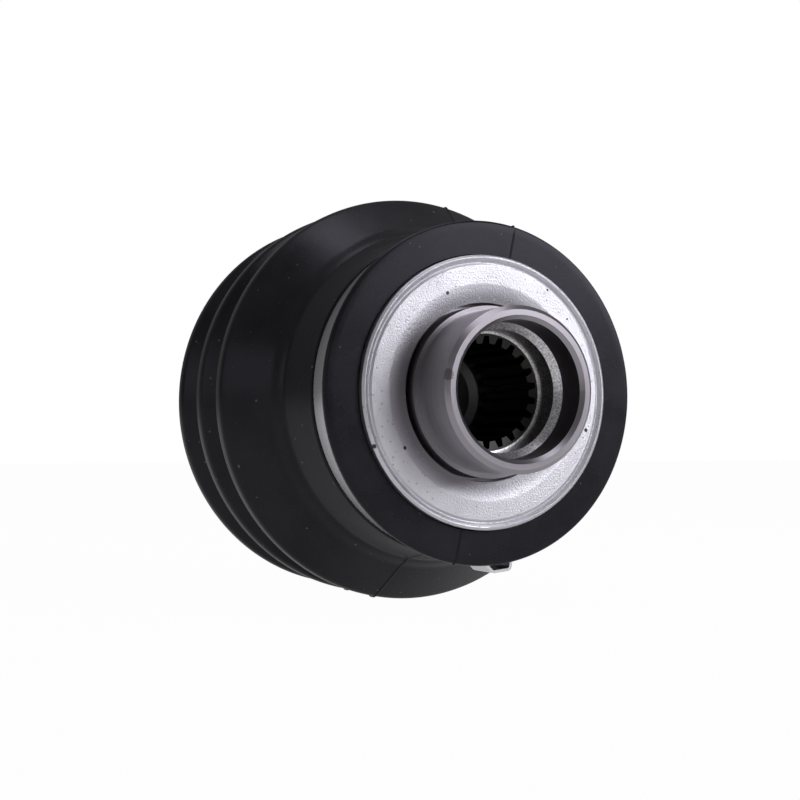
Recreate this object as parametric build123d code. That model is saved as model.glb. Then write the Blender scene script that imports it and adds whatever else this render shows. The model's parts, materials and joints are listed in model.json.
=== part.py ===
from build123d import *
import math
import os

# Booted universal joint: a splined sleeve yoke, its cross and the yoke behind it, under a rubber boot.
# Millimetres. The origin is the centre of the cross. +Y runs along the shaft away from the splined
# sleeve, +Z is up, and the front yoke's trunnion axis is X, the rear yoke's is Z.

# Stations along the shaft, measured from the centre of the cross
front_reach = 66.0  # cross centre to the mouth of the front sleeve
rear_reach = 66.0  # cross centre to the mouth of the rear sleeve
crotch_depth = 27.0  # cross centre to the bottom of each fork

# Front sleeve and its stepped, splined bore
sleeve_r = 16.75
sleeve_length = 12.4
mouth_chamfer = 0.9
bore_edge_chamfer = 0.8
pilot_bore_r = 13.95
pilot_length = 7.2
step_bore_r = 12.6
step_length = 1.4
step_bore_length = 5.6
spline_teeth = 22
spline_root_r = 11.75
spline_tip_r = 10.2
front_plug_web = 2.8  # front plug's seat to the bottom of the fork
rear_plug_web = 12.0  # rear plug's seat to the bottom of the fork
spline_entry = 0.4
tooth_root_share = 0.62  # tooth thickness at the root circle, over the pitch
tooth_tip_share = 0.36  # tooth thickness at the tip circle, over the pitch
plug_pocket_r = 12.4
plug_thickness = 1.2
plug_dish = 0.9
plug_dish_share = 0.8  # where the dish starts, over the plug's radius

# Collar and disc behind the sleeve, which carry the dust shield
collar_r = 17.8
disc_setback = 3.0  # back of the shield's face to the disc, the dark gap round the collar
disc_length = 6.0
hub_r = 19.0
press_gap = 0.02

# Dust shield, drawn from sheet
shield_r = 28.5
shield_sheet = 1.5
shield_hole_r = 18.6
shield_setback = 13.3  # sleeve mouth to the crest of the shield's rim
shield_face_drop = 0.4  # rim crest to the flat of the face
shield_dish_drop = 0.7  # further drop at the hole
shield_bead_width = 1.2
shield_groove_width = 0.9
shield_groove_depth = 0.5
shield_dish_r = 22.5
shield_skirt = 14.0

# Fork ears, the same on both yokes
ear_inner = 19.5
ear_outer = 29.0
ear_boss_r = 16.5
fork_corner_r = 7.0
fork_turn_r = 31.5  # turned envelope of both ears
arm_taper = 9.0  # how far the arm's back runs past the crotch

# Bearings, four alike
cup_r = 11.0
cup_mouth = 13.6
cup_floor = 27.2
cup_floor_thickness = 2.1
roller_r = 1.25
roller_length = 8.4
rollers_per_cup = 19
roller_gap = 0.015
trunnion_r = 6.5
washer_thickness = 0.6
washer_hole_r = 2.0
end_play = 0.05
circlip_thickness = 1.2
circlip_side_gap = 0.03
circlip_depth = 0.6
circlip_width = 2.0
circlip_gap_deg = 40.0
circlip_hole_r = 0.6
lug_r = 1.7
seal_length = 2.2
seal_gap = 0.25

# Cross
cross_body_r = 12.0
cross_half_thickness = 9.0
shoulder_r = 8.8
shoulder_reach = 13.0
trunnion_reach = 24.4
grease_way_r = 1.6
trunnion_chamfer = 0.6

# Rear sleeve
rear_hub_r = 18.5
rear_sleeve_r = 16.0
rear_sleeve_length = 9.0
rear_bore_r = 12.6
rear_bore_length = 5.0

# Boot
boot_wall = 2.2
bead_front = 15.0  # sleeve mouth to the bead's front face
bead_flange_height = 2.2  # over the seat of the band
bead_flange_length = 1.5
bead_edge_r = 0.7
bead_gap = 0.25
bead_seat_wall = 4.95  # rubber between the shield's skirt and the band
front_lip_height = 1.1
front_lip_length = 1.2
neck_start_height = 0.5
neck_flare = 2.0
neck_length = 10.4
bead_inner_step = 2.6  # how much the hollow opens behind the shield's skirt
ridge_places = (-14.0, 1.0, 18.0, 32.0)
ridge_radii = (46.5, 46.4, 46.0, 38.5)
ridge_flat = 3.4
ridge_round_r = 2.6
groove_depth = 5.4
groove_flat = 1.2
groove_round_r = 1.4
rear_groove_depth = 3.0
rear_neck_inner_gap = 0.3
rear_neck_wall = 2.6
rear_neck_length = 11.0
rear_neck_end = 55.0  # cross centre to the boot's rear edge
rear_lip_height = 1.2
rear_lip_length = 1.6

# Band clamps
band_thickness = 0.6
band_gap = 0.05
front_band_width = 8.0
rear_band_width = 6.4
band_side_gap = 0.3  # between a band's edge and the shoulders of its seat
rear_band_gap = 0.3
ear_height = 3.1
ear_span = 7.6
ear_foot = 1.6
ear_steep_run = 0.8
ear_ramp_run = 2.6
ear_angle = 174.0  # from +Z towards +X, seen from the sleeve


def turned(outline):
    """Turns a closed outline of (radius, place along Y) points about the shaft."""
    face = make_face(Polyline(*outline, close=True))
    return revolve(face, axis=Axis.Y)


def along_shaft(face_y, radius, length):
    """A cylinder on the shaft's axis that starts at face_y and runs towards +Y."""
    plane = Plane(origin=(0, face_y, 0), x_dir=(1, 0, 0), z_dir=(0, 1, 0))
    return extrude(plane * Circle(radius), length)


def along_x(start, radius, length, inner_r=0.0):
    """A cylinder or tube on the X axis from start to start + length."""
    plane = Plane(origin=(start, 0, 0), x_dir=(0, 1, 0), z_dir=(1, 0, 0))
    section = Circle(radius)
    if inner_r > 0:
        section = section - Circle(inner_r)
    return extrude(plane * section, length)


def spline_bore(start_y, length):
    """The hollow of the toothed bore: the tip circle and the spaces between the teeth."""
    pitch = 2 * math.pi / spline_teeth
    root_half = pitch * (1 - tooth_root_share) / 2
    tip_half = pitch * (1 - tooth_tip_share) / 2
    past_r = spline_root_r * 1.1
    slope = (root_half - tip_half) / (spline_root_r - spline_tip_r)
    past_half = root_half + slope * (past_r - spline_root_r)
    inside_r = spline_tip_r * 0.9
    inside_half = tip_half + slope * (inside_r - spline_tip_r)
    space = Polygon(
        (-inside_r * math.sin(inside_half), inside_r * math.cos(inside_half)),
        (inside_r * math.sin(inside_half), inside_r * math.cos(inside_half)),
        (past_r * math.sin(past_half), past_r * math.cos(past_half)),
        (-past_r * math.sin(past_half), past_r * math.cos(past_half)),
        align=None,
    )
    root_circle = Circle(spline_root_r)
    section = Circle(spline_tip_r)
    for index in range(spline_teeth):
        section = section + (Rot(0, 0, math.degrees(pitch) * index) * space & root_circle)
    plane = Plane(origin=(0, start_y, 0), x_dir=(1, 0, 0), z_dir=(0, 1, 0))
    return extrude(plane * section, length)


def fork(hub_end_r):
    """Two ears on the X axis, with the U between them, reaching to -Y where the hub joins."""
    back = crotch_depth + arm_taper
    side_arc = ThreePointArc((0, ear_boss_r), (ear_boss_r, 0), (0, -ear_boss_r))
    side_edge = Polyline((0, -ear_boss_r), (-back, -hub_end_r), (-back, hub_end_r), (0, ear_boss_r))
    side = Plane.YZ * make_face(side_arc + side_edge)
    side_block = extrude(side, ear_outer, both=True)
    top = make_face(
        Polyline(
            (-ear_outer, ear_boss_r),
            (-ear_outer, -crotch_depth + fork_corner_r),
            (-hub_end_r, -back),
            (hub_end_r, -back),
            (ear_outer, -crotch_depth + fork_corner_r),
            (ear_outer, ear_boss_r),
            close=True,
        )
    )
    slot = Rectangle(2 * ear_inner, crotch_depth + 2 * ear_boss_r)
    slot = Pos(0, ear_boss_r - crotch_depth / 2) * slot
    slot = fillet(slot.vertices().group_by(Axis.Y)[0], fork_corner_r)
    top_block = extrude(top - slot, 2 * ear_boss_r, both=True)
    envelope = along_shaft(-back, fork_turn_r, back + 2 * ear_boss_r)
    return (side_block & top_block) & envelope


def ear_bores():
    """Both cup bores of a fork on X, each with its circlip groove."""
    bore = along_x(-2 * ear_outer, cup_r, 4 * ear_outer)
    groove_start = cup_floor
    groove_length = circlip_thickness + 2 * circlip_side_gap
    right = along_x(groove_start, cup_r + circlip_depth, groove_length)
    left = along_x(-groove_start - groove_length, cup_r + circlip_depth, groove_length)
    return bore + right + left


def build_front_yoke():
    """Sleeve, collar, disc and hub in one turning, with the fork behind and the bore through it."""
    mouth = -front_reach
    shield_back = mouth + shield_setback + shield_face_drop + shield_dish_drop + shield_sheet
    disc_face = shield_back + disc_setback
    disc_r = shield_r - shield_sheet - press_gap
    hub_back = -crotch_depth - fork_corner_r
    blank = turned(
        [
            (0, mouth),
            (sleeve_r - mouth_chamfer, mouth),
            (sleeve_r, mouth + mouth_chamfer),
            (sleeve_r, mouth + sleeve_length),
            (collar_r, mouth + sleeve_length),
            (collar_r, disc_face),
            (disc_r, disc_face),
            (disc_r, disc_face + disc_length),
            (hub_r, disc_face + disc_length + (disc_r - hub_r) / 2),
            (hub_r, hub_back),
            (0, hub_back),
        ]
    )
    body = blank + fork(hub_r)
    bore = turned(
        [
            (0, mouth - 1),
            (pilot_bore_r + bore_edge_chamfer + 1, mouth - 1),
            (pilot_bore_r, mouth + bore_edge_chamfer),
            (pilot_bore_r, mouth + pilot_length),
            (step_bore_r, mouth + pilot_length + step_length),
            (step_bore_r, mouth + pilot_length + step_length + step_bore_length),
            (spline_tip_r, mouth + pilot_length + step_length + step_bore_length + spline_entry),
            (0, mouth + pilot_length + step_length + step_bore_length + spline_entry),
        ]
    )
    spline_start = mouth + pilot_length + step_length + step_bore_length
    plug_seat = -crotch_depth - front_plug_web
    teeth = spline_bore(spline_start, plug_seat - spline_start)
    pocket = along_shaft(plug_seat, plug_pocket_r, crotch_depth + fork_corner_r)
    return body - bore - teeth - pocket - ear_bores()


def build_plug(seat_y, towards):
    """Dished core plug pressed into the pocket at the inner end of a splined bore."""
    radius = plug_pocket_r - press_gap
    rise = plug_dish * towards
    thick = plug_thickness * towards
    dish_outer_r = radius * plug_dish_share
    dish_inner_r = dish_outer_r - 2 * plug_dish
    plug = turned(
        [
            (0, rise),
            (dish_inner_r, rise),
            (dish_outer_r, 0),
            (radius, 0),
            (radius, thick),
            (dish_outer_r, thick),
            (dish_inner_r, rise + thick),
            (0, rise + thick),
        ]
    )
    return Pos(0, seat_y, 0) * plug


def build_dust_shield():
    """Pressed can: rolled rim, groove, broad face dished at the hole, and a skirt behind the rim."""
    crest = -front_reach + shield_setback
    face = crest + shield_face_drop
    dish = face + shield_dish_drop
    bead_inner = shield_r - shield_bead_width
    groove_inner = bead_inner - shield_groove_width
    inner_r = shield_r - shield_sheet
    back = crest + shield_skirt
    rim = fillet_outline(
        [
            (shield_hole_r, dish),
            (shield_dish_r, face),
            (groove_inner, face),
            ((bead_inner + groove_inner) / 2, face + shield_groove_depth),
            (bead_inner, face),
            ((bead_inner + shield_r) / 2, crest),
            (shield_r, face),
            (shield_r, back),
        ],
        [2.5, 0.35, 0.3, 0.15, 0.35, 0.3],
    )
    closing = Polyline(
        (shield_r, back),
        (inner_r, back),
        (inner_r, face + shield_sheet + shield_dish_drop),
        (shield_dish_r, face + shield_sheet + shield_dish_drop),
        (shield_hole_r, dish + shield_sheet),
        (shield_hole_r, dish),
    )
    return revolve(make_face(rim + closing), axis=Axis.Y)


def fillet_outline(points, radii):
    """An open outline whose inner corners are rounded with the radii, in order."""
    return FilletPolyline(*points, radius=radii)


def band_seat_r():
    """Radius of the front clamp's seat on the boot."""
    return shield_r + bead_gap + bead_seat_wall


def front_seat_length():
    """Length of the front clamp's seat between the bead's flange and the lip."""
    return front_band_width + 2 * band_side_gap


def boot_outline(inset):
    """The bellows from the neck to the rear seat, moved inward by inset, with its corner radii."""
    neck_start = -front_reach + bead_front + bead_flange_length + front_seat_length() + front_lip_length
    start_r = band_seat_r() + neck_start_height - inset
    points = [(start_r, neck_start), (start_r + neck_flare, neck_start + neck_length)]
    radii = [3.0]
    last = len(ridge_places) - 1
    for index, (place, radius) in enumerate(zip(ridge_places, ridge_radii)):
        points.append((radius - inset, place - ridge_flat / 2))
        points.append((radius - inset, place + ridge_flat / 2))
        radii += [ridge_round_r, ridge_round_r]
        if index < last:
            next_radius = ridge_radii[index + 1]
            depth = groove_depth if next_radius > ridge_radii[0] - groove_depth else rear_groove_depth
            middle = (place + ridge_places[index + 1]) / 2
            floor_r = min(radius, next_radius) - depth
            points.append((floor_r - inset, middle - groove_flat / 2))
            points.append((floor_r - inset, middle + groove_flat / 2))
            radii += [groove_round_r, groove_round_r]
    neck_r = rear_hub_r + rear_neck_inner_gap + rear_neck_wall
    points.append((neck_r - min(inset, rear_neck_wall), rear_neck_end - rear_neck_length))
    radii.append(3.0)
    return points, radii


def build_boot():
    """One moulding: thick front bead, clamp seat, neck, ridges, and a plain rear neck."""
    front = -front_reach + bead_front
    seat_start = front + bead_flange_length
    seat_r = band_seat_r()
    lip_start = seat_start + front_seat_length()
    lip_r = seat_r + front_lip_height
    bead_inner = shield_r + bead_gap
    bead_r = seat_r + bead_flange_height
    rear_inner = rear_hub_r + rear_neck_inner_gap
    rear_outer = rear_inner + rear_neck_wall
    rear_start = rear_neck_end - rear_neck_length
    outer_points, outer_radii = boot_outline(0.0)
    inner_points, inner_radii = boot_outline(boot_wall)
    skirt_end = -front_reach + shield_setback + shield_skirt + bead_gap
    outer = fillet_outline(
        [
            (bead_inner, front),
            (bead_r, front),
            (bead_r, seat_start),
            (seat_r, seat_start),
            (seat_r, lip_start),
            (lip_r, lip_start),
            (lip_r, lip_start + front_lip_length * 0.8),
        ]
        + outer_points
        + [
            (rear_outer, rear_neck_end - rear_lip_length),
            (rear_outer + rear_lip_height, rear_neck_end - rear_lip_length),
            (rear_outer + rear_lip_height, rear_neck_end),
            (rear_inner, rear_neck_end),
        ],
        [bead_edge_r, 0.4, 0.2, 0.2, 0.4, 0.2, 0.3] + outer_radii + [0.3, 0.4, 0.4],
    )
    inner = fillet_outline(
        [(rear_inner, rear_neck_end), (rear_inner, rear_start)]
        + inner_points[::-1][1:-1]
        + [(bead_inner + bead_inner_step, skirt_end + bead_inner_step), (bead_inner, skirt_end)]
        + [(bead_inner, front)],
        [3.0] + inner_radii[::-1][1:] + [0.8, 0.4],
    )
    return revolve(make_face(outer + inner), axis=Axis.Y)


def build_band(seat_r, start_y, width):
    """Ear clamp: a thin band whose loop was pinched to draw it tight, and its overlapping tail."""
    inner_r = seat_r
    outer_r = inner_r + band_thickness
    plane = Plane(origin=(0, start_y, 0), x_dir=(1, 0, 0), z_dir=(0, -1, 0))
    ring = Circle(outer_r) - Circle(inner_r)
    half = ear_span / 2
    foot_r = inner_r + band_thickness / 2
    top_r = outer_r + ear_height
    loop_path = FilletPolyline(
        (-half - ear_foot, foot_r),
        (-half, foot_r),
        (-half + ear_steep_run, top_r),
        (half - ear_ramp_run, top_r),
        (half, foot_r),
        (half + ear_foot, foot_r),
        radius=[0.5, 0.9, 0.9, 0.5],
    )
    loop = trace(loop_path, band_thickness)
    gap = Rectangle(ear_span - band_thickness, 4 * band_thickness)
    gap = Pos(0, foot_r) * gap
    section = (ring - gap) + loop
    section = Rot(0, 0, -ear_angle) * section
    return extrude(plane * section, -width)


def build_cup():
    """Drawn needle cup on +X, open towards the cross."""
    bore_r = trunnion_r + 2 * roller_r + 2 * roller_gap
    length = cup_floor - cup_mouth
    shell = along_x(cup_mouth, cup_r - press_gap, length)
    edge = shell.edges().filter_by(GeomType.CIRCLE).sort_by(Axis.X)[-1]
    shell = chamfer(edge, 0.5)
    hollow = along_x(cup_mouth - 1, bore_r, length - cup_floor_thickness + 1)
    return shell - hollow


def build_rollers():
    """A full ring of loose needle rollers round the +X trunnion."""
    middle_r = trunnion_r + roller_gap + roller_r
    start = cup_floor - cup_floor_thickness - washer_thickness - end_play - roller_length
    roller = along_x(start - 0.1, roller_r, roller_length)
    step = 360 / rollers_per_cup
    ring = [Rot(step * index, 0, 0) * Pos(0, middle_r, 0) * roller for index in range(rollers_per_cup)]
    return Compound(children=ring)


def build_washer():
    """Thrust washer between the +X trunnion's end and the floor of its cup."""
    radius = trunnion_r + 2 * roller_r
    start = cup_floor - cup_floor_thickness - washer_thickness
    return along_x(start - end_play / 2, radius, washer_thickness, washer_hole_r)


def build_seal():
    """Lip seal in the mouth of the +X cup, turned to a soft edge towards the trunnion."""
    outer_r = trunnion_r + 2 * roller_r
    inner_r = trunnion_r + seal_gap
    back = cup_mouth + seal_length
    lip = make_face(
        Polyline(
            (cup_mouth + 0.2, outer_r),
            (back, outer_r),
            (back, inner_r + 0.9),
            (cup_mouth + 1.1, inner_r),
            (cup_mouth + 0.2, inner_r + 0.5),
            close=True,
        )
    )
    return revolve(lip, axis=Axis.X)


def build_circlip():
    """Inside circlip in its groove at the +X ear, with two eyes beside the gap."""
    outer_r = cup_r + circlip_depth - press_gap
    inner_r = outer_r - circlip_width
    plane = Plane(origin=(cup_floor + circlip_side_gap, 0, 0), x_dir=(0, 1, 0), z_dir=(1, 0, 0))
    half_gap = circlip_gap_deg / 2
    reach = 2 * outer_r
    mouth = Polygon(
        (0, 0),
        (reach * math.cos(math.radians(half_gap)), -reach * math.sin(math.radians(half_gap))),
        (reach * math.cos(math.radians(half_gap)), reach * math.sin(math.radians(half_gap))),
        align=None,
    )
    ring = Circle(outer_r) - Circle(inner_r) - mouth
    eye_middle_r = cup_r - lug_r - 0.3
    for side in (-1, 1):
        spot = Rot(0, 0, side * (half_gap + 9)) * Pos(eye_middle_r, 0)
        ring = ring + spot * Circle(lug_r) - spot * Circle(circlip_hole_r)
    return extrude(plane * ring, circlip_thickness)


def build_cross():
    """Forged cross: rounded body, four shoulders, four ground trunnions and crossing grease ways."""
    body = Sphere(cross_body_r)
    for turn in (0, 90):
        shoulders = along_x(-shoulder_reach, shoulder_r, 2 * shoulder_reach)
        pins = along_x(-trunnion_reach, trunnion_r, 2 * trunnion_reach)
        pins = chamfer(pins.edges().filter_by(GeomType.CIRCLE), trunnion_chamfer)
        body = body + Rot(0, turn, 0) * (shoulders + pins)
    thickness = 2 * cross_half_thickness
    wide = 4 * trunnion_reach
    body = body & Box(wide, thickness, wide)
    for turn in (0, 90):
        body = body - Rot(0, turn, 0) * along_x(-trunnion_reach - 1, grease_way_r, 2 * trunnion_reach + 2)
    return body


def build_rear_yoke():
    """Rear fork on Z, its hub under the boot's rear neck, and the splined sleeve beyond it."""
    mouth = rear_reach
    hub_back = crotch_depth + fork_corner_r
    blank = turned(
        [
            (0, hub_back),
            (rear_hub_r, hub_back),
            (rear_hub_r, mouth - rear_sleeve_length),
            (rear_sleeve_r, mouth - rear_sleeve_length + (rear_hub_r - rear_sleeve_r)),
            (rear_sleeve_r, mouth - mouth_chamfer),
            (rear_sleeve_r - mouth_chamfer, mouth),
            (0, mouth),
        ]
    )
    ears = Rot(0, 90, 0) * (Rot(0, 0, 180) * fork(rear_hub_r))
    bores = Rot(0, 90, 0) * ear_bores()
    spline_start = crotch_depth + rear_plug_web
    entry_y = mouth - rear_bore_length
    entry = turned(
        [
            (0, mouth + 1),
            (rear_bore_r + bore_edge_chamfer + 1, mouth + 1),
            (rear_bore_r, mouth - bore_edge_chamfer),
            (rear_bore_r, entry_y),
            (0, entry_y),
        ]
    )
    pocket = along_shaft(0, plug_pocket_r, spline_start)
    return blank + ears - bores - entry - spline_bore(spline_start, entry_y - spline_start) - pocket


def place_on_z(shape):
    """Turns a piece from the +X trunnion onto the +Z one."""
    return Rot(0, -90, 0) * shape


def build_all():
    """Every node of the joint, by name."""
    nodes = {
        "front_yoke": build_front_yoke(),
        "dust_shield": build_dust_shield(),
        "boot": build_boot(),
        "cross": build_cross(),
        "rear_yoke": build_rear_yoke(),
    }
    nodes["front_core_plug"] = build_plug(-crotch_depth - front_plug_web, 1)
    nodes["rear_core_plug"] = build_plug(crotch_depth + rear_plug_web, -1)
    band_start = -front_reach + bead_front + bead_flange_length + band_side_gap
    nodes["front_clamp"] = build_band(band_seat_r() + band_gap, band_start, front_band_width)
    rear_seat_r = rear_hub_r + rear_neck_inner_gap + rear_neck_wall + rear_band_gap
    rear_start = rear_neck_end - rear_lip_length - rear_band_width - band_side_gap
    nodes["rear_clamp"] = build_band(rear_seat_r, rear_start, rear_band_width)
    bearing = {
        "cup": build_cup(),
        "rollers": build_rollers(),
        "thrust_washer": build_washer(),
        "seal": build_seal(),
        "circlip": build_circlip(),
    }
    for name, piece in bearing.items():
        nodes["right_" + name] = piece
        nodes["left_" + name] = Rot(0, 180, 0) * piece
        nodes["top_" + name] = place_on_z(piece)
        nodes["bottom_" + name] = Rot(0, 90, 0) * piece
    return nodes


os.makedirs("parts", exist_ok=True)
for node, solid in build_all().items():
    export_step(solid, "parts/" + node + ".step")
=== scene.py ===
import json
import math
import bmesh
import bpy
import numpy as np
from mathutils import Matrix, Vector


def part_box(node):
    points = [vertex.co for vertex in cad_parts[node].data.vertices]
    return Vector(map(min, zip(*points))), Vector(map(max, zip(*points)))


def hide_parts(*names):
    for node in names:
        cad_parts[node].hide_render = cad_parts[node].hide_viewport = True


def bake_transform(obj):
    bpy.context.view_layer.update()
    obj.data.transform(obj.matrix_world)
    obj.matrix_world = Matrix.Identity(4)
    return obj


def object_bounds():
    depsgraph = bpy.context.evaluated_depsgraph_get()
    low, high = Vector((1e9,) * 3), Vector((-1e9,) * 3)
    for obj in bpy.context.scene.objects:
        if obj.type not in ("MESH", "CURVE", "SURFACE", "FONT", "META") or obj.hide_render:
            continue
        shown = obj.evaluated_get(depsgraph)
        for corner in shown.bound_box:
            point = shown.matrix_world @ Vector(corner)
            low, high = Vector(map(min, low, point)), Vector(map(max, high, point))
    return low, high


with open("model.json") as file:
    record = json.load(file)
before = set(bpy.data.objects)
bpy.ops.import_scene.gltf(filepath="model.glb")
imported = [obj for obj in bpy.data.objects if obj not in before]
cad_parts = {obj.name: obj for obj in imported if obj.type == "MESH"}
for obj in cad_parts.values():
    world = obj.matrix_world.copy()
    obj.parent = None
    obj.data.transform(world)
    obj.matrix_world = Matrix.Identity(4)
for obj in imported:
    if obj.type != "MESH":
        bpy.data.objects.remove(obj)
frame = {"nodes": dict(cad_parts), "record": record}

cadLow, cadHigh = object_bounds()
scene = bpy.context.scene
mm = 0.001
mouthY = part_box("front_yoke")[0].y   # mouth of the splined sleeve
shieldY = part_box("dust_shield")[0].y   # crest of the dust shield's rim
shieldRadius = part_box("dust_shield")[1].x
partingTurn = 78.5   # the boot mould's parting plane, degrees from +X towards +Z


# Node groups that several finishes share

def newGroup(name, inputs, outputs):
    group = bpy.data.node_groups.new(name, "ShaderNodeTree")
    for socketName, kind, value in inputs:
        socket = group.interface.new_socket(socketName, in_out="INPUT", socket_type=kind)
        socket.default_value = value
    for socketName, kind in outputs:
        group.interface.new_socket(socketName, in_out="OUTPUT", socket_type=kind)
    return group, group.nodes.new("NodeGroupInput"), group.nodes.new("NodeGroupOutput")


def mathNode(tree, kind, first, second=0.5, clamp=False):
    node = tree.nodes.new("ShaderNodeMath")
    node.operation = kind
    node.use_clamp = clamp
    for socket, value in ((node.inputs[0], first), (node.inputs[1], second)):
        if isinstance(value, bpy.types.NodeSocket):
            tree.links.new(value, socket)
        else:
            socket.default_value = value
    return node.outputs[0]


def noiseNode(tree, vector, scale, detail=4.0, roughness=0.55):
    node = tree.nodes.new("ShaderNodeTexNoise")
    if isinstance(scale, bpy.types.NodeSocket):
        tree.links.new(scale, node.inputs["Scale"])
    else:
        node.inputs["Scale"].default_value = scale
    node.inputs["Detail"].default_value = detail
    node.inputs["Roughness"].default_value = roughness
    tree.links.new(vector, node.inputs["Vector"])
    return node.outputs["Fac"]


def rampNode(tree, factor, stops):
    node = tree.nodes.new("ShaderNodeValToRGB")
    ramp = node.color_ramp
    while len(ramp.elements) < len(stops):
        ramp.elements.new(0.5)
    for element, (place, color) in zip(ramp.elements, stops):
        element.position = place
        element.color = (*color, 1.0)
    tree.links.new(factor, node.inputs[0])
    return node.outputs[0]


def speckGroup():
    # tiny separate spots: dust on rubber, pits on metal
    group, entry, out = newGroup(
        "strewnSpecks",
        [
            ("Scale", "NodeSocketFloat", 900.0),
            ("Size", "NodeSocketFloat", 0.12),
            ("Share", "NodeSocketFloat", 0.5),
        ],
        [("Mask", "NodeSocketFloat")],
    )
    coord = group.nodes.new("ShaderNodeTexCoord")
    cells = group.nodes.new("ShaderNodeTexVoronoi")
    group.links.new(coord.outputs["Object"], cells.inputs["Vector"])
    group.links.new(entry.outputs["Scale"], cells.inputs["Scale"])
    split = group.nodes.new("ShaderNodeSeparateColor")
    group.links.new(cells.outputs["Color"], split.inputs[0])
    size = mathNode(group, "MULTIPLY", entry.outputs["Size"], split.outputs[1])
    near = mathNode(group, "LESS_THAN", cells.outputs["Distance"], size)
    chosen = mathNode(group, "LESS_THAN", split.outputs[0], entry.outputs["Share"])
    group.links.new(mathNode(group, "MULTIPLY", near, chosen), out.inputs["Mask"])
    return group


def turningGroup():
    # fine tool marks that run round the shaft, from the place along it and the distance from it
    group, entry, out = newGroup(
        "turningMarks",
        [("Lines", "NodeSocketFloat", 4200.0), ("Waver", "NodeSocketFloat", 0.4)],
        [("Height", "NodeSocketFloat"), ("Streak", "NodeSocketFloat"), ("Radius", "NodeSocketFloat")],
    )
    coord = group.nodes.new("ShaderNodeTexCoord")
    parts = group.nodes.new("ShaderNodeSeparateXYZ")
    group.links.new(coord.outputs["Object"], parts.inputs[0])
    radius = mathNode(
        group,
        "SQRT",
        mathNode(
            group,
            "ADD",
            mathNode(group, "MULTIPLY", parts.outputs[0], parts.outputs[0]),
            mathNode(group, "MULTIPLY", parts.outputs[2], parts.outputs[2]),
        ),
    )
    along = mathNode(group, "ADD", parts.outputs[1], radius)
    across = mathNode(group, "SUBTRACT", parts.outputs[1], radius)
    joined = group.nodes.new("ShaderNodeCombineXYZ")
    group.links.new(mathNode(group, "MULTIPLY", along, entry.outputs["Lines"]), joined.inputs[0])
    group.links.new(mathNode(group, "MULTIPLY", across, entry.outputs["Lines"]), joined.inputs[1])
    angle = mathNode(group, "ARCTAN2", parts.outputs[2], parts.outputs[0])
    group.links.new(mathNode(group, "MULTIPLY", angle, entry.outputs["Waver"]), joined.inputs[2])
    fine = noiseNode(group, joined.outputs[0], 1.0, 3.0, 0.7)
    broad = noiseNode(group, joined.outputs[0], 0.12, 2.0, 0.6)
    group.links.new(fine, out.inputs["Height"])
    group.links.new(broad, out.inputs["Streak"])
    group.links.new(radius, out.inputs["Radius"])
    return group


def smudgeGroup():
    # soft cloudy patches, for handling marks and uneven shine
    group, entry, out = newGroup(
        "cloudyPatches",
        [
            ("Scale", "NodeSocketFloat", 60.0),
            ("Low", "NodeSocketFloat", 0.4),
            ("High", "NodeSocketFloat", 0.7),
        ],
        [("Mask", "NodeSocketFloat"), ("Grain", "NodeSocketFloat")],
    )
    coord = group.nodes.new("ShaderNodeTexCoord")
    clouds = noiseNode(group, coord.outputs["Object"], entry.outputs["Scale"], 6.0, 0.62)
    span = group.nodes.new("ShaderNodeMapRange")
    group.links.new(clouds, span.inputs["Value"])
    group.links.new(entry.outputs["Low"], span.inputs["From Min"])
    group.links.new(entry.outputs["High"], span.inputs["From Max"])
    group.links.new(span.outputs[0], out.inputs["Mask"])
    group.links.new(noiseNode(group, coord.outputs["Object"], 2600.0, 3.0, 0.6), out.inputs["Grain"])
    return group


def partingGroup():
    # thin line where the mould halves met, on a plane through the shaft
    group, entry, out = newGroup(
        "partingLine",
        [("Turn", "NodeSocketFloat", 0.0), ("Width", "NodeSocketFloat", 0.0003)],
        [("Mask", "NodeSocketFloat")],
    )
    coord = group.nodes.new("ShaderNodeTexCoord")
    parts = group.nodes.new("ShaderNodeSeparateXYZ")
    group.links.new(coord.outputs["Object"], parts.inputs[0])
    acrossX = mathNode(group, "MULTIPLY", parts.outputs[0], mathNode(group, "SINE", entry.outputs["Turn"]))
    acrossZ = mathNode(group, "MULTIPLY", parts.outputs[2], mathNode(group, "COSINE", entry.outputs["Turn"]))
    off = mathNode(group, "ABSOLUTE", mathNode(group, "SUBTRACT", acrossX, acrossZ))
    share = mathNode(group, "DIVIDE", off, entry.outputs["Width"], clamp=True)
    group.links.new(mathNode(group, "SUBTRACT", 1.0, share), out.inputs["Mask"])
    return group


specks = speckGroup()
turning = turningGroup()
smudges = smudgeGroup()
partings = partingGroup()
print("shared node groups made")


def place(tree, group, **values):
    node = tree.nodes.new("ShaderNodeGroup")
    node.node_tree = group
    for name, value in values.items():
        node.inputs[name].default_value = value
    return node


def newMaterial(name, metallic, specular=0.5):
    material = bpy.data.materials.new(name)
    material.use_nodes = True
    shader = material.node_tree.nodes["Principled BSDF"]
    shader.inputs["Metallic"].default_value = metallic
    shader.inputs["Specular IOR Level"].default_value = specular
    return material, material.node_tree, shader


def mixColor(tree, factor, first, second):
    node = tree.nodes.new("ShaderNodeMix")
    node.data_type = "RGBA"
    for socket, value in ((node.inputs[6], first), (node.inputs[7], second)):
        if isinstance(value, bpy.types.NodeSocket):
            tree.links.new(value, socket)
        else:
            socket.default_value = (*value, 1.0)
    tree.links.new(factor, node.inputs[0])
    return node.outputs[2]


def mapTo(tree, value, low, high):
    node = tree.nodes.new("ShaderNodeMapRange")
    tree.links.new(value, node.inputs["Value"])
    node.inputs["To Min"].default_value = low
    node.inputs["To Max"].default_value = high
    return node.outputs[0]


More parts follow.
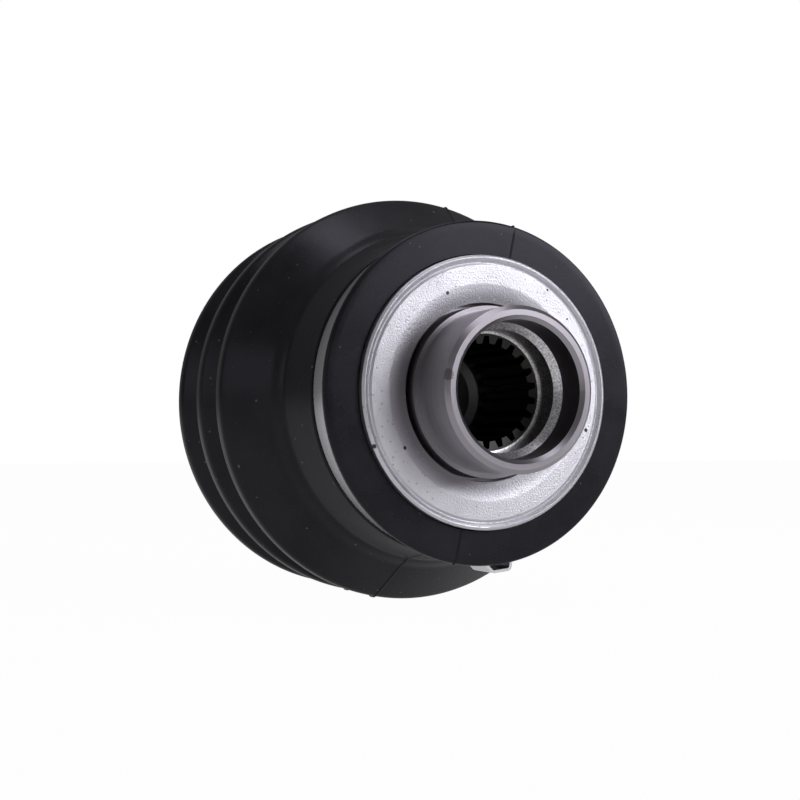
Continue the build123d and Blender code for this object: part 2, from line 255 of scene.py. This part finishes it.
def bump(tree, shader, height, strength, distance):
    node = tree.nodes.new("ShaderNodeBump")
    node.inputs["Strength"].default_value = strength
    node.inputs["Distance"].default_value = distance
    tree.links.new(height, node.inputs["Height"])
    tree.links.new(node.outputs[0], shader.inputs["Normal"])


def rubberMaterial(name, color, dusty):
    material, tree, shader = newMaterial(name, 0.0, 0.27)
    cloud = place(tree, smudges, Scale=55.0, Low=0.38, High=0.72)
    dust = place(tree, specks, Scale=520.0, Size=0.17, Share=0.16 * dusty)
    paler = tuple(c * 1.6 + 0.006 for c in color)
    base = mixColor(tree, cloud.outputs["Mask"], color, paler)
    base = mixColor(tree, dust.outputs["Mask"], base, tuple(c + 0.10 for c in color))
    grit = place(tree, specks, Scale=1500.0, Size=0.24, Share=0.05 * dusty)
    base = mixColor(tree, grit.outputs["Mask"], base, tuple(c + 0.05 for c in color))
    shader.inputs["Specular Tint"].default_value = (0.90, 0.88, 1.0, 1.0)
    line = place(tree, partings, Turn=math.radians(partingTurn), Width=0.5 * mm)
    lineMask = mathNode(tree, "MULTIPLY", line.outputs["Mask"], dusty)
    base = mixColor(tree, lineMask, base, (0.003, 0.003, 0.003))
    tree.links.new(base, shader.inputs["Base Color"])
    tree.links.new(mapTo(tree, cloud.outputs["Mask"], 0.24, 0.36), shader.inputs["Roughness"])
    height = mathNode(
        tree,
        "ADD",
        cloud.outputs["Grain"],
        mathNode(tree, "MULTIPLY", dust.outputs["Mask"], 0.6),
    )
    height = mathNode(tree, "SUBTRACT", height, mathNode(tree, "MULTIPLY", lineMask, 6.0))
    bump(tree, shader, height, 0.3, 0.00004)
    return material


stainSpot = {
    "place": (-16.2 * mm, mouthY + 0.4 * mm, 2.6 * mm),   # on the sleeve's rim
    "reach": 1.9 * mm,
    "unevenness": 1.6 * mm,
    "depth": 0.55,
    "color": (0.06, 0.05, 0.05),
}


def stainMask(tree, grain):
    coord = tree.nodes.new("ShaderNodeTexCoord")
    away = tree.nodes.new("ShaderNodeVectorMath")
    away.operation = "DISTANCE"
    tree.links.new(coord.outputs["Object"], away.inputs[0])
    away.inputs[1].default_value = stainSpot["place"]
    ragged = mathNode(tree, "MULTIPLY", grain, stainSpot["unevenness"])
    uneven = mathNode(tree, "ADD", away.outputs["Value"], ragged)
    inside = mathNode(tree, "LESS_THAN", uneven, stainSpot["reach"])
    return mathNode(tree, "MULTIPLY", inside, stainSpot["depth"])


def steelMaterial(name, color, rough, lines=4200.0, stain=0.25, strength=0.2, shadedBoreRadius=0.0):
    # turned metal: near black within the bore's given radius, painted shade there along with the splines'
    # dark phosphate; rough, with pale blotches painted on as glints, on the step just outside it
    stepShare = 1.14
    material, tree, shader = newMaterial(name, 1.0)
    marks = place(tree, turning, Lines=lines, Waver=0.5)
    cloud = place(tree, smudges, Scale=130.0, Low=0.5, High=0.85)
    darker = tuple(c * 0.55 for c in color)
    paler = tuple(min(1.0, c * 1.3) for c in color)
    base = mixColor(tree, marks.outputs["Streak"], color, paler)
    base = mixColor(tree, mathNode(tree, "MULTIPLY", cloud.outputs["Mask"], stain), base, darker)
    # painted shade: inside the bore radius the colour goes near black, on top of the splines' dark phosphate
    inside = mathNode(tree, "LESS_THAN", marks.outputs["Radius"], shadedBoreRadius)
    base = mixColor(tree, inside, base, (0.04, 0.039, 0.036))
    base = mixColor(tree, stainMask(tree, cloud.outputs["Grain"]), base, stainSpot["color"])
    # painted glints: the step ring just outside the bore gets pale blotches of colour that stand in for its
    # sparkle of light
    onStep = mathNode(
        tree,
        "MULTIPLY",
        mathNode(tree, "GREATER_THAN", marks.outputs["Radius"], shadedBoreRadius),
        mathNode(tree, "LESS_THAN", marks.outputs["Radius"], shadedBoreRadius * stepShare),
    )
    paintedGlintStops = [(0.35, (0.42, 0.41, 0.42)), (0.62, (0.95, 0.94, 0.95))]
    paintedGlints = rampNode(tree, cloud.outputs["Grain"], paintedGlintStops)
    base = mixColor(tree, onStep, base, paintedGlints)
    tree.links.new(base, shader.inputs["Base Color"])
    shine = mapTo(tree, marks.outputs["Streak"], rough * 0.8, rough * 1.25)
    tree.links.new(shine, shader.inputs["Roughness"])
    bump(tree, shader, marks.outputs["Height"], strength, 0.00002)
    return material


def shieldMaterial(name):
    # satin zinc plate with pits and a fine orange peel, and painted shade that darkens it towards its hole
    holeShadeStart, holeShadeEnd = 19.4 * mm, 22.8 * mm
    material, tree, shader = newMaterial(name, 1.0)
    cloud = place(tree, smudges, Scale=90.0, Low=0.42, High=0.75)
    pits = place(tree, specks, Scale=420.0, Size=0.2, Share=0.13)
    fine = place(tree, specks, Scale=1700.0, Size=0.42, Share=0.24)
    base = mixColor(tree, cloud.outputs["Mask"], (0.72, 0.715, 0.75), (0.64, 0.635, 0.675))
    marks = place(tree, turning, Lines=900.0, Waver=1.5)
    # painted shade: the dish darkens towards the hole, standing in for the shade on its inward slope
    near = tree.nodes.new("ShaderNodeMapRange")
    near.interpolation_type = "SMOOTHSTEP"
    tree.links.new(marks.outputs["Radius"], near.inputs["Value"])
    near.inputs["From Min"].default_value = holeShadeEnd
    near.inputs["From Max"].default_value = holeShadeStart
    near.inputs["To Max"].default_value = 0.8
    base = mixColor(tree, near.outputs[0], base, (0.24, 0.235, 0.25))
    base = mixColor(tree, fine.outputs["Mask"], base, (0.5, 0.5, 0.52))
    base = mixColor(tree, pits.outputs["Mask"], base, (0.08, 0.08, 0.08))
    tree.links.new(base, shader.inputs["Base Color"])
    tree.links.new(mapTo(tree, cloud.outputs["Mask"], 0.36, 0.48), shader.inputs["Roughness"])
    height = mathNode(
        tree,
        "SUBTRACT",
        mathNode(tree, "MULTIPLY", cloud.outputs["Grain"], 1.6),
        mathNode(tree, "ADD", pits.outputs["Mask"], mathNode(tree, "MULTIPLY", fine.outputs["Mask"], 0.4)),
    )
    bump(tree, shader, height, 0.6, 0.00011)
    return material


def plasticMaterial(name, color):
    material, tree, shader = newMaterial(name, 0.0)
    cloud = place(tree, smudges, Scale=200.0, Low=0.4, High=0.7)
    base = mixColor(tree, cloud.outputs["Mask"], color, tuple(c * 0.8 for c in color))
    tree.links.new(base, shader.inputs["Base Color"])
    tree.links.new(mapTo(tree, cloud.outputs["Mask"], 0.4, 0.55), shader.inputs["Roughness"])
    bump(tree, shader, cloud.outputs["Grain"], 0.15, 0.00003)
    return material


finishes = {
    "boot_rubber": rubberMaterial("bootRubber", (0.0074, 0.0070, 0.0092), 1.0),
    "seal_rubber": rubberMaterial("sealRubber", (0.05, 0.02, 0.014), 0.0),
    "machined_steel": steelMaterial("machinedSteel", (0.33, 0.310, 0.334), 0.30, shadedBoreRadius=0.0122),
    "ground_steel": steelMaterial("groundSteel", (0.58, 0.58, 0.59), 0.2, 9000.0, 0.1, 0.1),
    # pressed steel near black: painted shade for the plug deep in the bore
    "pressed_steel": steelMaterial("pressedSteel", (0.08, 0.076, 0.074), 0.4, 600.0, 0.5, 0.3),
    "clamp_band": steelMaterial("clampBand", (0.86, 0.84, 0.92), 0.26, 1500.0, 0.2, 0.15),
    "spring_steel": steelMaterial("springSteel", (0.13, 0.13, 0.14), 0.45, 2500.0, 0.3, 0.2),
    "plated_sheet": shieldMaterial("platedSheet"),
    "nylon": plasticMaterial("washerNylon", (0.7, 0.66, 0.55)),
}
for row in frame["record"]["subparts"]:
    node = frame["nodes"][row["node"]]
    node.data.materials.clear()
    node.data.materials.append(finishes[row["material_slot"]])
print("finishes on", len(frame["nodes"]), "CAD nodes")


# The boot: one closed skin turned from its outline, in two halves that meet at the middle of the joint

bootSizes = {
    # in mm, but for the first two and the seed
    "turns": 300,   # faces round the boot
    "closeness": 0.95,   # how far the faces crowd towards the two parting lines
    "finHeight": 0.33,
    "finWidth": 0.22,
    "wave": 0.10,   # unevenness of the moulding
    "skinUnder": 0.35,   # the skin lies this far inside the solid's ridges, so the fin stays inside too
    "underFrom": 38.0,   # radius past which it does so
    "seed": 3.0,
    "sharpOver": 38.0,   # degrees between faces that keep a hard edge
    "frontBend": 36.0,   # the halves' distances from the joint
    "rearBend": 40.0,
    "beadFront": 15.0,
    "beadInner": 28.75,
    "seatRadius": 33.7,
    "flangeHeight": 2.2,
    "flange": 1.5,
    "seatLength": 8.6,
    "lipHeight": 1.1,
    "lipLength": 1.2,
    "neckLift": 0.5,
    "neckFlare": 2.0,
    "neckLength": 10.4,
    "wall": 2.2,
    "skirtEnd": 27.55,   # where the bead's bore opens into the bellows, from the sleeve's mouth
    "skirtSlope": 2.6,
    "ridgePlaces": (-14.0, 1.0, 18.0, 32.0),
    "ridgeRadii": (46.5, 46.4, 46.0, 38.5),
    "ridgeFlat": 3.4,
    "ridgeRound": 2.6,
    "grooveDepths": (5.4, 5.4, 3.0),
    "grooveFlat": 1.2,
    "grooveRound": 1.4,
    "rearInner": 18.8,
    "rearWall": 2.6,
    "rearStart": 44.0,
    "rearEnd": 55.0,
    "rearLipHeight": 1.2,
    "rearLipLength": 1.6,
}


def roundedPath(points, radii, step=0.25):
    # a polyline of 2-D points with its inner corners turned into arcs
    path = [np.array(points[0], float)]
    for before, corner, after, radius in zip(points, points[1:], points[2:], radii):
        corner = np.array(corner, float)
        back = np.array(before, float) - corner
        ahead = np.array(after, float) - corner
        backLength, aheadLength = np.linalg.norm(back), np.linalg.norm(ahead)
        back, ahead = back / backLength, ahead / aheadLength
        half = math.acos(max(-1.0, min(1.0, float(back @ ahead)))) / 2
        reach = min(radius / math.tan(half), backLength * 0.49, aheadLength * 0.49)
        radius = reach * math.tan(half)
        middle = corner + (back + ahead) / np.linalg.norm(back + ahead) * (radius / math.sin(half))
        start, end = corner + back * reach, corner + ahead * reach
        startAngle = math.atan2(start[1] - middle[1], start[0] - middle[0])
        endAngle = math.atan2(end[1] - middle[1], end[0] - middle[0])
        turn = (endAngle - startAngle + math.pi) % (2 * math.pi) - math.pi
        count = max(4, int(abs(turn) * radius / step))
        for index in range(count + 1):
            angle = startAngle + turn * index / count
            path.append(middle + radius * np.array([math.cos(angle), math.sin(angle)]))
    path.append(np.array(points[-1], float))
    return path


def bellows(sizes, inset):
    # corners of the ribbed stretch, from the neck to the rear seat, moved inward by inset
    neck = mouthY / mm + sizes["beadFront"] + sizes["flange"] + sizes["seatLength"] + sizes["lipLength"]
    start = sizes["seatRadius"] + sizes["neckLift"] - inset
    points = [(start, neck), (start + sizes["neckFlare"], neck + sizes["neckLength"])]
    radii = [0.3, 3.0]
    rows = list(zip(sizes["ridgePlaces"], sizes["ridgeRadii"]))
    for index, (place, radius) in enumerate(rows):
        for side in (-0.5, 0.5):
            points.append((radius - inset, place + side * sizes["ridgeFlat"]))
            radii.append(sizes["ridgeRound"])
        if index < len(rows) - 1:
            nextPlace, nextRadius = rows[index + 1]
            floor = min(radius, nextRadius) - sizes["grooveDepths"][index] - inset
            for side in (-0.5, 0.5):
                points.append((floor, (place + nextPlace) / 2 + side * sizes["grooveFlat"]))
                radii.append(sizes["grooveRound"])
    return points, radii


def bootOutline(sizes):
    front = mouthY / mm + sizes["beadFront"]
    seat = front + sizes["flange"]
    lip = seat + sizes["seatLength"]
    seatRadius = sizes["seatRadius"]
    rearOuter = sizes["rearInner"] + sizes["rearWall"]
    points, radii = bellows(sizes, 0.0)
    outer = [
        (sizes["beadInner"], front),
        (seatRadius + sizes["flangeHeight"], front),
        (seatRadius + sizes["flangeHeight"], seat),
        (seatRadius, seat),
        (seatRadius, lip),
        (seatRadius + sizes["lipHeight"], lip),
        (seatRadius + sizes["lipHeight"], lip + sizes["lipLength"] * 0.8),
    ] + points + [
        (rearOuter, sizes["rearStart"]),
        (rearOuter, sizes["rearEnd"] - sizes["rearLipLength"]),
        (rearOuter + sizes["rearLipHeight"], sizes["rearEnd"] - sizes["rearLipLength"]),
        (rearOuter + sizes["rearLipHeight"], sizes["rearEnd"]),
        (sizes["rearInner"], sizes["rearEnd"]),
    ]
    outerRadii = [0.7, 0.4, 0.2, 0.2, 0.5, 0.5] + radii + [3.0, 0.3, 0.4, 0.4]
    points, radii = bellows(sizes, sizes["wall"])
    inner = [(sizes["rearInner"], sizes["rearEnd"]), (sizes["rearInner"], sizes["rearStart"])]
    inner += points[::-1][:-1]
    skirtEnd = mouthY / mm + sizes["skirtEnd"]
    slope = sizes["skirtSlope"]
    inner += [(sizes["beadInner"] + slope, skirtEnd + slope), (sizes["beadInner"], skirtEnd)]
    inner.append((sizes["beadInner"], front))
    innerRadii = [3.0] + radii[::-1][:-1] + [0.8, 0.4]
    return roundedPath(outer, outerRadii), roundedPath(inner, innerRadii, 0.6)


def densify(path, longest=1.4):
    dense = [path[0]]
    for point in path[1:]:
        gap = np.linalg.norm(point - dense[-1])
        if gap < 1e-6:
            continue
        pieces = max(1, math.ceil(gap / longest))
        start = dense[-1]
        dense += [start + (point - start) * k / pieces for k in range(1, pieces + 1)]
    return dense


def cutAtMiddle(path, side):
    # keeps the points on one side of the joint's middle plane and ends on the plane
    kept = []
    for here, ahead in zip(path, path[1:] + path[-1:]):
        if here[1] * side >= 0:
            kept.append(here)
        if here[1] * ahead[1] < 0:
            share = here[1] / (here[1] - ahead[1])
            kept.append(here + (ahead - here) * share)
    return kept


def turnTree():
    # turns the points of an outline mesh, held as radius, place and fin share, into a closed skin
    tree = bpy.data.node_groups.new("turnOutline", "GeometryNodeTree")
    sockets = {}
    wanted = [
        ("Geometry", "NodeSocketGeometry", None),
        ("Turns", "NodeSocketInt", 300),
        ("Points", "NodeSocketInt", 100),
        ("Closeness", "NodeSocketFloat", 0.95),
        ("Parting Turn", "NodeSocketFloat", 0.0),
        ("Fin Height", "NodeSocketFloat", 0.0003),
        ("Fin Width", "NodeSocketFloat", 0.0002),
        ("Wave", "NodeSocketFloat", 0.0001),
        ("Seed", "NodeSocketFloat", 3.0),
        ("Finish", "NodeSocketMaterial", None),
    ]
    for name, kind, value in wanted:
        socket = tree.interface.new_socket(name, in_out="INPUT", socket_type=kind)
        if value is not None:
            socket.default_value = value
        sockets[name] = socket.identifier
    tree.interface.new_socket("Geometry", in_out="OUTPUT", socket_type="NodeSocketGeometry")
    entry, out = tree.nodes.new("NodeGroupInput"), tree.nodes.new("NodeGroupOutput")
    link = tree.links.new
    rim = mathNode(tree, "ADD", entry.outputs["Turns"], 1.0)
    grid = tree.nodes.new("GeometryNodeMeshGrid")
    link(entry.outputs["Points"], grid.inputs["Vertices X"])
    link(rim, grid.inputs["Vertices Y"])
    index = tree.nodes.new("GeometryNodeInputIndex").outputs[0]
    row = mathNode(tree, "FLOOR", mathNode(tree, "DIVIDE", mathNode(tree, "ADD", index, 0.5), rim))
    column = mathNode(tree, "SUBTRACT", index, mathNode(tree, "MULTIPLY", row, rim))
    share = mathNode(tree, "DIVIDE", column, entry.outputs["Turns"])
    whole = mathNode(tree, "MULTIPLY", share, 2 * math.pi)
    swing = mathNode(tree, "SINE", mathNode(tree, "MULTIPLY", whole, 2.0))
    halfSwing = mathNode(tree, "MULTIPLY", swing, 0.5)
    crowd = mathNode(tree, "MULTIPLY", halfSwing, entry.outputs["Closeness"])
    fromLine = mathNode(tree, "SUBTRACT", whole, crowd)
    angle = mathNode(tree, "ADD", fromLine, entry.outputs["Parting Turn"])
    sample = tree.nodes.new("GeometryNodeSampleIndex")
    sample.data_type = "FLOAT_VECTOR"
    link(entry.outputs["Geometry"], sample.inputs["Geometry"])
    link(tree.nodes.new("GeometryNodeInputPosition").outputs[0], sample.inputs["Value"])
    link(row, sample.inputs["Index"])
    parts = tree.nodes.new("ShaderNodeSeparateXYZ")
    link(sample.outputs["Value"], parts.inputs[0])
    radius, along, skin = parts.outputs
    off = mathNode(tree, "MULTIPLY", mathNode(tree, "ABSOLUTE", mathNode(tree, "SINE", fromLine)), radius)
    ratio = mathNode(tree, "DIVIDE", off, entry.outputs["Fin Width"])
    squared = mathNode(tree, "MULTIPLY", ratio, ratio)
    fade = mathNode(tree, "EXPONENT", mathNode(tree, "MULTIPLY", squared, -1.0))
    fin = mathNode(tree, "MULTIPLY", mathNode(tree, "MULTIPLY", fade, entry.outputs["Fin Height"]), skin)
    spot = tree.nodes.new("ShaderNodeCombineXYZ")
    link(mathNode(tree, "COSINE", angle), spot.inputs[0])
    link(mathNode(tree, "MULTIPLY", along, 22.0), spot.inputs[1])
    link(mathNode(tree, "SINE", angle), spot.inputs[2])
    rough = tree.nodes.new("ShaderNodeTexNoise")
    rough.noise_dimensions = "4D"
    link(spot.outputs[0], rough.inputs["Vector"])
    link(entry.outputs["Seed"], rough.inputs["W"])
    rough.inputs["Scale"].default_value = 1.6
    centred = mathNode(tree, "SUBTRACT", rough.outputs[0], 0.5)
    lift = mathNode(tree, "MULTIPLY", centred, entry.outputs["Wave"])
    lift = mathNode(tree, "MULTIPLY", lift, skin)
    total = mathNode(tree, "ADD", mathNode(tree, "ADD", radius, fin), lift)
    where = tree.nodes.new("ShaderNodeCombineXYZ")
    link(mathNode(tree, "MULTIPLY", total, mathNode(tree, "COSINE", angle)), where.inputs[0])
    link(along, where.inputs[1])
    link(mathNode(tree, "MULTIPLY", total, mathNode(tree, "SINE", angle)), where.inputs[2])
    move = tree.nodes.new("GeometryNodeSetPosition")
    link(grid.outputs["Mesh"], move.inputs["Geometry"])
    link(where.outputs[0], move.inputs["Position"])
    weld = tree.nodes.new("GeometryNodeMergeByDistance")
    weld.inputs["Distance"].default_value = 0.000004
    link(move.outputs[0], weld.inputs["Geometry"])
    real = tree.nodes.new("GeometryNodeRealizeInstances")
    link(weld.outputs[0], real.inputs[0])
    paint = tree.nodes.new("GeometryNodeSetMaterial")
    link(real.outputs[0], paint.inputs["Geometry"])
    link(entry.outputs["Finish"], paint.inputs["Material"])
    link(paint.outputs[0], out.inputs[0])
    return tree, sockets


def meshFromTree(name, points, tree, sockets, values):
    # runs the tree on the points and leaves a plain mesh at the origin
    mesh = bpy.data.meshes.new(name + "Points")
    mesh.from_pydata([tuple(p) for p in points], [], [])
    holder = bpy.data.objects.new(name + "Points", mesh)
    scene.collection.objects.link(holder)
    modifier = holder.modifiers.new("turn", "NODES")
    modifier.node_group = tree
    for key, value in values.items():
        modifier[sockets[key]] = value
    bpy.context.view_layer.update()
    evaluated = holder.evaluated_get(bpy.context.evaluated_depsgraph_get())
    result = bpy.data.meshes.new_from_object(evaluated)
    bpy.data.objects.remove(holder)
    work = bmesh.new()
    work.from_mesh(result)
    bmesh.ops.recalc_face_normals(work, faces=work.faces)
    for face in work.faces:
        face.smooth = True
    work.to_mesh(result)
    work.free()
    result.set_sharp_from_angle(angle=math.radians(bootSizes["sharpOver"]))
    piece = bpy.data.objects.new(name, result)
    scene.collection.objects.link(piece)
    return piece


def buildBoot():
    sizes = bootSizes
    outer, inner = bootOutline(sizes)
    tree, sockets = turnTree()
    for name, side in (("bootFront", -1), ("bootRear", 1)):
        skin = densify(cutAtMiddle(outer, side))
        lining = densify(cutAtMiddle(inner, side), 3.0)
        loop = []
        for index, point in enumerate(skin):
            # the front half's first point closes the bead's bore and stays plain
            covered = 0.0 if side < 0 and index == 0 else 1.0
            under = sizes["skinUnder"] if point[0] > sizes["underFrom"] else 0.0
            loop.append(((point[0] - under) * mm, point[1] * mm, covered))
        loop += [(point[0] * mm, point[1] * mm, 0.0) for point in lining]
        loop.append(loop[0])
        piece = meshFromTree(name, loop, tree, sockets, {
            "Turns": sizes["turns"],
            "Points": len(loop),
            "Closeness": sizes["closeness"],
            "Parting Turn": math.radians(partingTurn),
            "Fin Height": sizes["finHeight"] * mm,
            "Fin Width": sizes["finWidth"] * mm,
            "Wave": sizes["wave"] * mm,
            "Seed": sizes["seed"],
            "Finish": finishes["boot_rubber"],
        })
        if side < 0:
            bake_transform(piece)
        else:
            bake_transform(piece)
        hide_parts("boot")
        print(name, len(piece.data.polygons), "faces")


buildBoot()


def buildCamera():
    shot = {
        "focalPx": 1300.0,
        "shieldPx": (489.0, 392.1),   # centre of the shield's rim in the 800 x 800 picture
        "shieldRadiusPx": 138.2,
        "azimuth": 25.26,
        "elevation": -2.18,
        "picturePx": 800.0,
        "sensor": 36.0,
    }
    data = bpy.data.cameras.new("camera")
    data.sensor_width = shot["sensor"]
    data.lens = shot["focalPx"] / shot["picturePx"] * shot["sensor"]
    data.dof.use_dof = False
    data.clip_start = 0.01
    camera = bpy.data.objects.new("camera", data)
    scene.collection.objects.link(camera)
    scene.camera = camera
    azimuth, elevation = math.radians(shot["azimuth"]), math.radians(shot["elevation"])
    forward = Vector((
        math.sin(azimuth) * math.cos(elevation),
        math.cos(azimuth) * math.cos(elevation),
        -math.sin(elevation),
    ))
    right = forward.cross(Vector((0, 0, 1))).normalized()
    up = right.cross(forward)
    perPx = shieldRadius / shot["shieldRadiusPx"]
    middle = shot["picturePx"] / 2
    offX = (shot["shieldPx"][0] - middle) * perPx
    offY = (shot["shieldPx"][1] - middle) * perPx
    target = Vector((0, shieldY, 0))
    camera.location = target - right * offX + up * offY - forward * (shot["focalPx"] * perPx)
    camera.rotation_euler = Matrix((right, up, -forward)).transposed().to_euler()
    print("camera at", [round(c, 4) for c in camera.location])


stage = {
    "floorSize": 6.0,
    "floorWhite": 0.98,   # share of plain white that the camera sees on the floor
    "floorBounce": 0.36,   # share of white that the floor gives off to the object
    "worldStrength": 0.04,
    "mirroredWhite": 0.14,   # share of the white surround that shines in metal
}


def buildFloor():
    # pale floor under the boot, white to the camera but for a faint shadow
    bpy.ops.mesh.primitive_plane_add(size=stage["floorSize"], location=(0, 0, cadLow.z))
    floor = bpy.context.object
    floor.name = "floor"
    material = bpy.data.materials.new("floorPaper")
    material.use_nodes = True
    tree = material.node_tree
    tree.nodes.clear()
    out = tree.nodes.new("ShaderNodeOutputMaterial")
    paper = tree.nodes.new("ShaderNodeBsdfDiffuse")
    paper.inputs[0].default_value = (0.8, 0.8, 0.8, 1)
    glow = tree.nodes.new("ShaderNodeEmission")
    glow.inputs[0].default_value = (1, 1, 1, 1)
    path = tree.nodes.new("ShaderNodeLightPath")
    mix = tree.nodes.new("ShaderNodeMixShader")
    white = mathNode(tree, "MULTIPLY", path.outputs["Is Camera Ray"], stage["floorWhite"])
    factor = mathNode(tree, "MAXIMUM", white, stage["floorBounce"])
    tree.links.new(factor, mix.inputs[0])
    tree.links.new(paper.outputs[0], mix.inputs[1])
    tree.links.new(glow.outputs[0], mix.inputs[2])
    tree.links.new(mix.outputs[0], out.inputs[0])
    floor.data.materials.append(material)


def buildWorld():
    # dim surround, white to the camera and a little white in what the metal mirrors
    world = bpy.data.worlds.new("studio")
    scene.world = world
    world.use_nodes = True
    tree = world.node_tree
    tree.nodes.clear()
    out = tree.nodes.new("ShaderNodeOutputWorld")
    path = tree.nodes.new("ShaderNodeLightPath")
    light = tree.nodes.new("ShaderNodeBackground")
    light.inputs[0].default_value = (0.9, 0.93, 1.0, 1)
    light.inputs[1].default_value = stage["worldStrength"]
    white = tree.nodes.new("ShaderNodeBackground")
    white.inputs[0].default_value = (1, 1, 1, 1)
    mix = tree.nodes.new("ShaderNodeMixShader")
    mirrored = mathNode(tree, "ADD", path.outputs["Is Glossy Ray"], path.outputs["Is Transmission Ray"])
    seen = mathNode(
        tree,
        "MAXIMUM",
        path.outputs["Is Camera Ray"],
        mathNode(tree, "MULTIPLY", mirrored, stage["mirroredWhite"], clamp=True),
    )
    tree.links.new(seen, mix.inputs[0])
    tree.links.new(light.outputs[0], mix.inputs[1])
    tree.links.new(white.outputs[0], mix.inputs[2])
    tree.links.new(mix.outputs[0], out.inputs[0])
    print("floor and surround set")


lamps = {
    # place, size and power of each softbox, all aimed at the middle of the joint
    "rightBox": ((0.446, -0.49, 0.28), (0.58, 0.42), 2.6, (0.95, 0.94, 1.0)),
    "topBox": ((-0.04, -0.08, 0.6), (0.4, 0.4), 0.85, (0.93, 0.91, 1.0)),
    "leftBox": ((-0.55, -0.1, 0.12), (0.25, 0.2), 0.10, (0.95, 0.94, 1.0)),
}


def buildLamps():
    for name, (place, size, power, tint) in lamps.items():
        data = bpy.data.lights.new(name, "AREA")
        data.shape = "RECTANGLE"
        data.size, data.size_y = size
        data.energy = power
        data.color = tint
        lamp = bpy.data.objects.new(name, data)
        scene.collection.objects.link(lamp)
        lamp.location = place
        lamp.rotation_euler = (-Vector(place)).to_track_quat("-Z", "Y").to_euler()
    print(len(lamps), "softboxes lit")


buildCamera()
buildFloor()
buildWorld()
buildLamps()
scene.view_settings.view_transform = "Standard"
